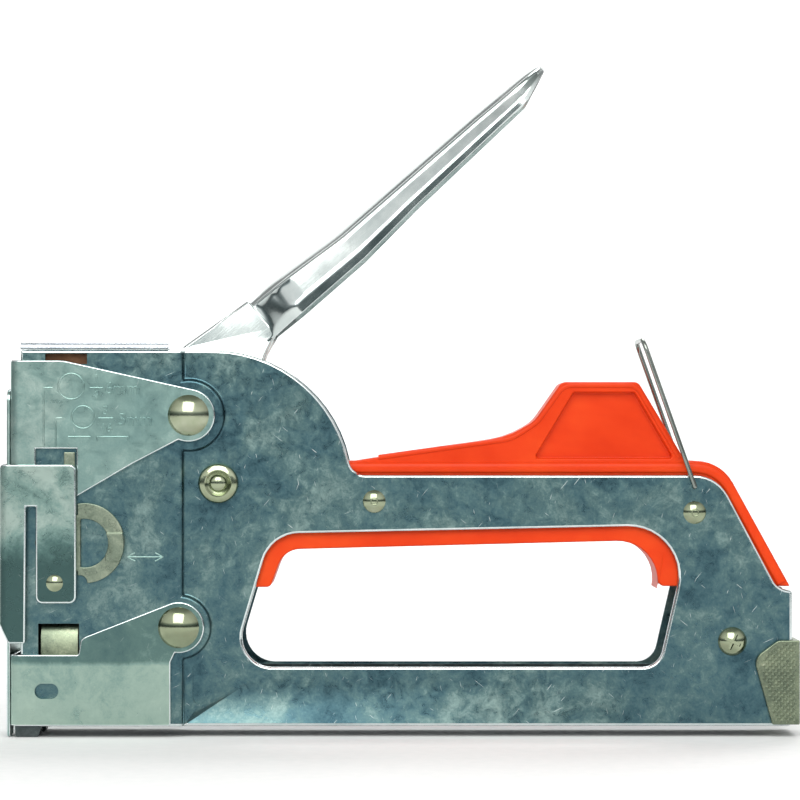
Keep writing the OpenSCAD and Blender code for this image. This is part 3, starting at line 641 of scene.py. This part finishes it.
def grip_surface():
    """The grip: outer and inner channel sections joined at their lips, along the lever."""
    l = np.concatenate([np.linspace(-1.5, 12, 30), np.linspace(12, 70, 30)[1:],
                        GRIP_LENGTH - 12.7 * np.cos(np.linspace(0, np.pi / 2, 30))[1:]])
    top = np.interp(l, [-1.5, 4, 25, 64, 73, GRIP_LENGTH], [0.4, -0.1, -2.2, -3.0, -3.4, -3.45])
    low = np.interp(l, [0, 9, 26, 42, 75, GRIP_LENGTH], [-8.3, -8.6, -8.9, -8.0, -7.3, -4.6])
    tip = np.clip((l - (GRIP_LENGTH - 10.5)) / 10.5, 0, 1)
    round_end = np.sqrt(np.clip(1 - tip ** 2, 0, 1))
    flare = eased((l + 0.6) / 9.0)
    lip_half = (NECK_HALF + (GRIP_HALF - NECK_HALF) * flare) * np.maximum(round_end, 0.05)
    lean = np.interp(l, [-1.5, 2.0, 6.5, 11, 70, GRIP_LENGTH], [NECK_LEAN, 3.0, 3.4, 1.9, 1.7, 0.3])
    lean = lean * round_end
    top_half = np.maximum(lip_half - lean, lip_half * 0.45)
    depth = top - low
    lip = np.minimum(np.interp(l, [0, 8, 75], [0.4, 2.3, 1.2]), depth * 0.3)
    radius = np.minimum(np.minimum(0.8, top_half * 0.5), depth * 0.4)
    crown = (0.7 + 0.8 * flare) * round_end
    outer = whole_section(top_half, lip_half, top, low, lip, radius, crown)
    thin = np.minimum(SHEET, lip_half * 0.4)
    inner = whole_section(top_half - thin * 0.95, lip_half - thin, top - thin, low + 0 * thin,
                          np.minimum(lip, (depth - thin) * 0.3),
                          np.maximum(radius - thin * 0.6, 0.1), crown)
    y = np.hstack([outer[0], inner[0][:, ::-1]])
    n = np.hstack([outer[1], inner[1][:, ::-1]])
    x = BEND[0] + MM * (l[:, None] * math.cos(GRIP_ANGLE) - n * math.sin(GRIP_ANGLE))
    z = BEND[1] + MM * (l[:, None] * math.sin(GRIP_ANGLE) + n * math.cos(GRIP_ANGLE))
    points = np.stack([x, y * MM, z], -1)
    rows, columns = y.shape
    faces = grid_faces(rows, columns, close_columns=True).tolist()
    faces.append(list(range(columns))[::-1])
    faces.append([(rows - 1) * columns + i for i in range(columns)])
    return points.reshape(-1, 3), faces


def outward(piece):
    """Turns every face outwards, after points that share a place are merged."""
    work = bmesh.new()
    work.from_mesh(piece.data)
    bmesh.ops.remove_doubles(work, verts=work.verts, dist=0.001 * MM)
    bmesh.ops.recalc_face_normals(work, faces=work.faces)
    work.to_mesh(piece.data)
    work.free()


grip = mesh_object("lever_grip", *grip_surface())
outward(grip)
smooth(grip, 50)
grip.data.materials.append(chrome)
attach(grip, "lever")
print("lever grip faces:", len(grip.data.polygons))

# %% [markdown]
# The neck and lifting arm keep the frame's shape, because they fit the pivot and the plunger.
# The copy is cut off square where the worked-out grip takes over. Above the housing its walls
# lean in towards the top like the grip's, which is what turns them up to the softbox.

# %% Lever neck
def lean_in(place):
    """Narrows the neck towards its top, by more the further it is above the housing."""
    along, up = place[:, 0] - BEND[0], place[:, 2] - BEND[1]
    height = -along * math.sin(GRIP_ANGLE) + up * math.cos(GRIP_ANGLE)
    lean = np.clip((height / MM - NECK_LIP) / NECK_DEEP, 0, 1)
    lean *= eased((place[:, 2] / MM - HOUSING_TOP) / LEAN_RUN)
    place[:, 1] *= 1 - NECK_LEAN / NECK_HALF * lean
    return place


def lever_neck():
    """The frame's lever up to the bend, closed at the cut."""
    neck = merged_copy("lever_neck", "lever")
    work = bmesh.new()
    work.from_mesh(neck.data)
    cut = (BEND[0] + SHEET * MM * math.cos(GRIP_ANGLE), 0,
           BEND[1] + SHEET * MM * math.sin(GRIP_ANGLE))
    along = (math.cos(GRIP_ANGLE), 0, math.sin(GRIP_ANGLE))
    sides = bmesh.ops.bisect_plane(work, geom=work.verts[:] + work.edges[:] + work.faces[:],
                                   plane_co=cut, plane_no=along, clear_outer=True)
    edges = [e for e in sides["geom_cut"] if isinstance(e, bmesh.types.BMEdge)]
    bmesh.ops.holes_fill(work, edges=edges)
    for level in (HOUSING_TOP, HOUSING_TOP + LEAN_RUN, HOUSING_TOP + 7):
        bmesh.ops.bisect_plane(work, geom=work.verts[:] + work.edges[:] + work.faces[:],
                               plane_co=(0, 0, level * MM), plane_no=(0, 0, 1))
    work.to_mesh(neck.data)
    work.free()
    move_points(neck.data, lean_in)
    smooth(neck, 35)
    roll_rims(neck, 0.55, 15)
    neck.data.materials.append(chrome)
    return neck


neck = lever_neck()
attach(neck, "lever")
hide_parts("lever")
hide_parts("lever")

# %% [markdown]
# Springs are wire wound on a mandrel. The wire is a circle carried along a helix, with the last
# turn at each end closed up flat, as on a real compression spring. On the tool the main spring
# squashes as the lever lifts the plunger, and the magazine spring squashes as the pusher runs
# back; here each spring is wound at the full length of its frame box.

# %% Springs
def coil_surface(start, axis, length, mean_r, wire, turns, per_turn=28, sides=10):
    """A circle of wire carried round a helix along the axis, with closed end turns."""
    t = np.linspace(0, 1, int(turns * per_turn) + 1)
    angle = 2 * np.pi * turns * t
    end = 1.0 / turns
    closed_end = [0, wire, length - 2 * wire, length - wire]
    rise = np.interp(t, [0, end, 1 - end, 1], closed_end) + wire / 2
    b = np.linspace(0, 2 * np.pi, sides, endpoint=False)[None, :]
    r = mean_r + wire / 2 * np.cos(b)
    local = [r * np.cos(angle)[:, None], r * np.sin(angle)[:, None],
             rise[:, None] + wire / 2 * np.sin(b)]
    order = [0, 1, 2] if axis == 2 else [2, 0, 1]
    points = np.stack([local[i] for i in order], -1) + np.array(start)
    faces = grid_faces(len(t), sides, close_columns=True).tolist()
    faces.append(list(range(sides)))
    faces.append([(len(t) - 1) * sides + i for i in range(sides)][::-1])
    return points.reshape(-1, 3), faces


def spring(node, axis, wire, turns, body):
    """A spring that fills the frame node's box."""
    low, high = (np.array(corner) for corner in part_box(node))
    middle = (low + high) / 2
    other = 0 if axis == 2 else 1
    mean_r = (high[other] - low[other]) / 2 - wire / 2
    start = middle.copy()
    start[axis] = low[axis]
    piece = mesh_object(node + "_wound", *coil_surface(
        start, axis, high[axis] - low[axis], mean_r, wire, turns))
    outward(piece)
    smooth(piece, 60)
    piece.data.materials.append(spring_wire)
    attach(piece, body)
    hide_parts(node)
    anchor = middle.copy()
    anchor[axis] = high[axis]
    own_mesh(piece)
    print(node, "turns", turns, "mean radius mm", round(mean_r / MM, 2))


spring("main_spring", 2, 1.8 * MM, 5, "housing")
spring("pusher_spring", 0, 0.8 * MM, 34, "magazine_rod")

# %% [markdown]
# Staples come as a strip of wires glued side by side. Each wire is a rounded ridge, so the strip
# is the arch of one staple carried along the magazine, with its skin swelling once per wire.

# %% Staple strip
def staple_surface():
    """An arch section carried along X; the outer skin dips between wires."""
    low, high = (np.array(corner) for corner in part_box("staple_strip"))
    wire = 0.9 * MM
    count = int(round((high[0] - low[0]) / wire))
    x = np.linspace(low[0], high[0], count * 6 + 1)
    dip = 0.12 * MM * np.abs(np.cos(np.pi * (x - low[0]) / wire)) ** 3
    half, top, bottom, r = high[1], high[2], low[2], 1.1 * MM
    turn = np.linspace(0, np.pi / 2, 7)
    y = np.concatenate([[-half], -half + r - r * np.cos(turn), half - r + r * np.sin(turn), [half]])
    z = np.concatenate([[bottom], top - r + r * np.sin(turn), top - r + r * np.cos(turn), [bottom]])
    inner_y = y * (half - wire) / half
    inner_z = np.where(z > bottom, z - wire, bottom)
    middle_z = (top + bottom) / 2
    outer_y = y[None, :] * (1 - dip[:, None] / half)
    dipped = z[None, :] - dip[:, None] * (z[None, :] > middle_z)
    outer_z = np.where(z[None, :] > bottom, dipped, bottom)
    all_y = np.hstack([outer_y, np.broadcast_to(inner_y[::-1], (len(x), len(y)))])
    all_z = np.hstack([outer_z, np.broadcast_to(inner_z[::-1], (len(x), len(y)))])
    points = np.stack([np.broadcast_to(x[:, None], all_y.shape), all_y, all_z], -1)
    columns = all_y.shape[1]
    faces = grid_faces(len(x), columns, close_columns=True).tolist()
    faces.append(list(range(columns)))
    faces.append([(len(x) - 1) * columns + i for i in range(columns)][::-1])
    return points.reshape(-1, 3), faces


strip = mesh_object("staple_strip_wires", *staple_surface())
outward(strip)
smooth(strip, 40)
strip.data.materials.append(wire_bright)
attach(strip, "housing")
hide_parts("staple_strip")

# %% [markdown]
# The rear catch is knurled so that a thumb can pull it. A knurl is a staggered field of small
# pyramids, one about every 1.3 mm, and each is only five points, so the whole field stays light.

# %% Knurl
KNURL_PITCH = 1.31
KNURL_HIGH = 0.28


def knurl_field(side):
    """Four-sided pyramids on a staggered grid that keeps inside the flap's outline."""
    low, high = (np.array(corner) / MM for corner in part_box("rear_catch"))
    column, row = np.meshgrid(np.arange(12), np.arange(28))
    x = high[0] - 1.1 - column * KNURL_PITCH
    z = low[2] + 0.9 + row * KNURL_PITCH / 2
    x = x - (row % 2) * KNURL_PITCH / 2
    # The flap's front edge leans forward to its widest place, then runs back under the tool
    front = np.interp(z, [low[2], 14.6, 17.5, 19.6, high[2]],
                      [high[0] - 5.7, high[0] - 8.9, high[0] - 8.3, high[0] - 5.6, high[0] - 3.8])
    keep = (x > front + 0.75) & (z < high[2] - 0.7)
    x, z = x[keep], z[keep]
    base = high[1] - 0.02
    r = KNURL_PITCH * 0.42
    corners = np.array([[r, 0, 0], [0, 0, r], [-r, 0, 0], [0, 0, -r], [0, KNURL_HIGH, 0]])
    points = np.stack([x, np.full_like(x, base), z], -1)[:, None, :] + corners[None]
    points[..., 1] *= side
    start = np.arange(len(x))[:, None] * 5
    sides = ([0, 1, 4], [1, 2, 4], [2, 3, 4], [3, 0, 4])
    faces = np.concatenate([start + np.array(f) for f in sides])
    floors = (start + np.array([3, 2, 1, 0])).tolist()
    return points.reshape(-1, 3) * MM, faces.tolist() + floors


for side, name in ((-1, "knurl_left"), (1, "knurl_right")):
    knurl = mesh_object(name, *knurl_field(side))
    outward(knurl)
    knurl.data.materials.append(zinc_yellow)
    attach(knurl, "magazine_rod")
    print(name, "pyramids:", len(knurl.data.vertices) // 5)

# %% [markdown]
# The covers carry generic marks: two rings that show the cable sizes, the lines that lead from
# them down to the selector's pointer, and a double arrow for its travel. They're pressed from
# behind, so each is a low rounded ridge, which is half of a tube carried along its path.

# %% Pressed marks
RIDGE = 0.32
LEFT_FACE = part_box("upper_cover")[0][1] / MM
PLATE_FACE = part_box("side_plate_left")[0][1] / MM
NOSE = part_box("side_plate_left")[0][0] / MM
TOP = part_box("side_plate_left")[1][2] / MM


def unit(arrows):
    """Each row made one long."""
    return arrows / np.linalg.norm(arrows, axis=1)[:, None]


def ridge(name, path, face, closed=False, width=RIDGE, high=0.16):
    """A low rounded ridge along an XZ path on the sheet at y = face."""
    path = np.array(path, float)
    ahead = np.roll(path, -1, 0) - path
    back = path - np.roll(path, 1, 0)
    if not closed:
        ahead[-1], back[0] = back[-1], ahead[0]
    run = unit(ahead) + unit(back)
    run = unit(run)
    side = np.stack([-run[:, 1], run[:, 0]], -1)
    turn = np.linspace(0, np.pi, 7)
    spread = width * np.cos(turn)
    rise = np.concatenate([high * np.sin(turn), [-0.15, -0.15]])
    spread = np.concatenate([spread, [-width, width]])
    x = path[:, :1] + side[:, :1] * spread[None]
    z = path[:, 1:] + side[:, 1:] * spread[None]
    y = np.broadcast_to(face - rise[None], x.shape)
    points = np.stack([x, y, z], -1).reshape(-1, 3) * MM
    columns = len(rise)
    faces = grid_faces(len(path), columns, close_rows=closed, close_columns=True).tolist()
    if not closed:
        faces.append(list(range(columns)))
        faces.append([(len(path) - 1) * columns + i for i in range(columns)][::-1])
    made = mesh_object(name, points, faces)
    outward(made)
    smooth(made, 50)
    return made


def circle_path(x, z, r, count=40):
    """Points round a circle."""
    a = np.linspace(0, 2 * np.pi, count, endpoint=False)
    return np.stack([x + r * np.cos(a), z + r * np.sin(a)], -1)


def line_path(*stops):
    """Straight runs through the stops, with extra points so that the ridge stays even."""
    stops = np.array(stops, float)
    runs = [np.linspace(a, b, 5)[:-1] for a, b in zip(stops[:-1], stops[1:])]
    return np.concatenate(runs + [stops[-1:]])


def finish_mark(piece, material):
    """Gives a mark its finish and fixes it to the housing."""
    piece.data.materials.append(material)
    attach(piece, "housing")


def cover_line(*stops):
    """A line on the cover, from stops measured from the plates' upper front corner."""
    return line_path(*[(NOSE + x, TOP + z) for x, z in stops])


WINDOW = -20.9  # where the lines end above the pointer's window
MARKS = {
    # mark: its path, whether it closes on itself
    "mark_ring_large": (circle_path(NOSE + 11.0, TOP - 7.8, 2.75), True),
    "mark_ring_small": (circle_path(NOSE + 13.5, TOP - 14.4, 2.4), True),
    "mark_line_large": (cover_line((5.1, WINDOW), (5.1, -8.1), (7.0, -8.1)), False),
    "mark_line_small": (cover_line((7.7, WINDOW), (7.7, -14.6), (9.0, -14.6)), False),
    "mark_bar_small": (cover_line((10.4, -18.6), (15.2, -18.6)), False),
    "mark_bar_wide": (
        cover_line((16.6, -19.4), (16.6, -18.6), (23.2, -18.6), (23.2, -19.4)), False),
    "mark_fraction_large": (cover_line((15.0, -8.1), (17.8, -8.1)), False),
    "mark_fraction_small": (cover_line((16.8, -14.6), (20.0, -14.6)), False),
}
for name, (path, closed) in MARKS.items():
    finish_mark(ridge(name, path, LEFT_FACE, closed, 0.2, 0.14), cover_sheet)

ARROW_Z = 38.8
ARROW_ENDS = (NOSE + 22.9, NOSE + 30.6)
BARB_LONG, BARB_HIGH = 1.7, 0.9


def arrow_head(tip, barb_x):
    """Two barbs that meet at the tip."""
    return line_path((barb_x, ARROW_Z + BARB_HIGH), (tip, ARROW_Z), (barb_x, ARROW_Z - BARB_HIGH))


ARROW = {
    "arrow_shaft": line_path(*[(x, ARROW_Z) for x in ARROW_ENDS]),
    "arrow_head_front": arrow_head(ARROW_ENDS[0], ARROW_ENDS[0] + BARB_LONG),
    "arrow_head_rear": arrow_head(ARROW_ENDS[1], ARROW_ENDS[1] - BARB_LONG),
}
for name, path in ARROW.items():
    finish_mark(ridge(name, path, PLATE_FACE, False, 0.16, 0.1), cover_sheet)


def numeral(name, text, x, z, size):
    """A raised size number, made a mesh before it is stood up against the cover."""
    curve = bpy.data.curves.new(name, "FONT")
    curve.body = text
    curve.size = size
    curve.extrude = 0.1
    curve.bevel_depth = 0.1
    curve.bevel_resolution = 1
    curve.offset = -0.03
    holder = bpy.data.objects.new(name + "_text", curve)
    scene.collection.objects.link(holder)
    bpy.context.view_layer.update()
    graph = bpy.context.evaluated_depsgraph_get()
    mesh = bpy.data.meshes.new_from_object(holder.evaluated_get(graph))
    bpy.data.objects.remove(holder)
    move_points(mesh, lambda flat: np.stack(
        [x + flat[:, 0], LEFT_FACE - flat[:, 2] + 0.04, z + flat[:, 1]], -1) * MM)
    mesh.materials.clear()
    made = bpy.data.objects.new(name, mesh)
    scene.collection.objects.link(made)
    outward(made)
    finish_mark(made, cover_sheet)


NUMERALS = [
    # name, text, x and z from the plates' upper front corner, letter size, all mm
    ("mark_6_mm", "6mm", 18.2, -9.4, 3.6), ("mark_5_mm", "5mm", 21.0, -16.1, 3.6),
    ("mark_quarter_over", "1", 15.6, -7.3, 3.0), ("mark_quarter_under", "4", 15.5, -10.5, 2.6),
    ("mark_sixteenth_over", "3", 17.7, -13.8, 2.6),
    ("mark_sixteenth_under", "16", 17.2, -17.6, 2.6),
]
for name, text, x, z, size in NUMERALS:
    numeral(name, text, NOSE + x, TOP + z, size)

# %% [markdown]
# The grip's moulding has a soft bead along its trim and a thin raised line round the hump, which
# stiffen it and hide the seam of the mould. Both are half-tubes in the same plastic. The grip
# rivets carry a small ring where the riveting tool pressed them.

# %% Beads and rivet rings
GRIP_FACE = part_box("grip_insert")[0][1] / MM
GRIP_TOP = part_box("grip_insert")[1][2] / MM
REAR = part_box("side_plate_left")[1][0] / MM
TRIM = GRIP_TOP - 18.5


def rounded_path(stops, r=4.0, count=8):
    """Straight runs with each inner stop replaced by a curve that starts r before it."""
    stops = np.array(stops, float)
    t = np.linspace(0, 1, count)[:, None]
    path = [stops[:1]]
    for a, b, c in zip(stops[:-2], stops[1:-1], stops[2:]):
        start = b + (a - b) / np.linalg.norm(a - b) * r
        end = b + (c - b) / np.linalg.norm(c - b) * r
        path.append((1 - t) ** 2 * start + 2 * t * (1 - t) * b + t ** 2 * end)
    return np.concatenate(path + [stops[-1:]])


TRIM_PATH = rounded_path(
    [(REAR - 96.0, TRIM), (REAR - 15.7, TRIM), (REAR - 2.2, GRIP_TOP - 43.2)], 5.5)
HUMP_PATH = rounded_path([
    (REAR - 89.0, TRIM + 2.2), (REAR - 60.4, TRIM + 6.2), (REAR - 54.9, TRIM + 9.6),
    (REAR - 49.0, GRIP_TOP - 0.75), (REAR - 33.4, GRIP_TOP - 0.75), (REAR - 24.2, TRIM + 2.2)], 1.8)
BEADS = [
    # kind, path, half width mm, height mm
    ("trim_bead", TRIM_PATH, 1.15, 0.5), ("hump_line", HUMP_PATH, 0.5, 0.28),
]
for side, name in ((1, "left"), (-1, "right")):
    for kind, path, width, high in BEADS:
        bead = ridge(kind + "_" + name, path, GRIP_FACE, False, width, high)
        move_points(bead.data, lambda place: place * np.array([1, side, 1]))
        outward(bead)
        finish_mark(bead, red_plastic)

RIVET_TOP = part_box("grip_rivets")[0][1] / MM
RIVET_RINGS = [
    ("rivet_ring_front", REAR - 89.9, TOP - 32.5), ("rivet_ring_rear", REAR - 21.0, TOP - 34.9),
]
for name, x, z in RIVET_RINGS:
    ring = ridge(name, circle_path(x, z, 0.75, 24), RIVET_TOP + 0.1, True, 0.16, 0.12)
    finish_mark(ring, nickel)
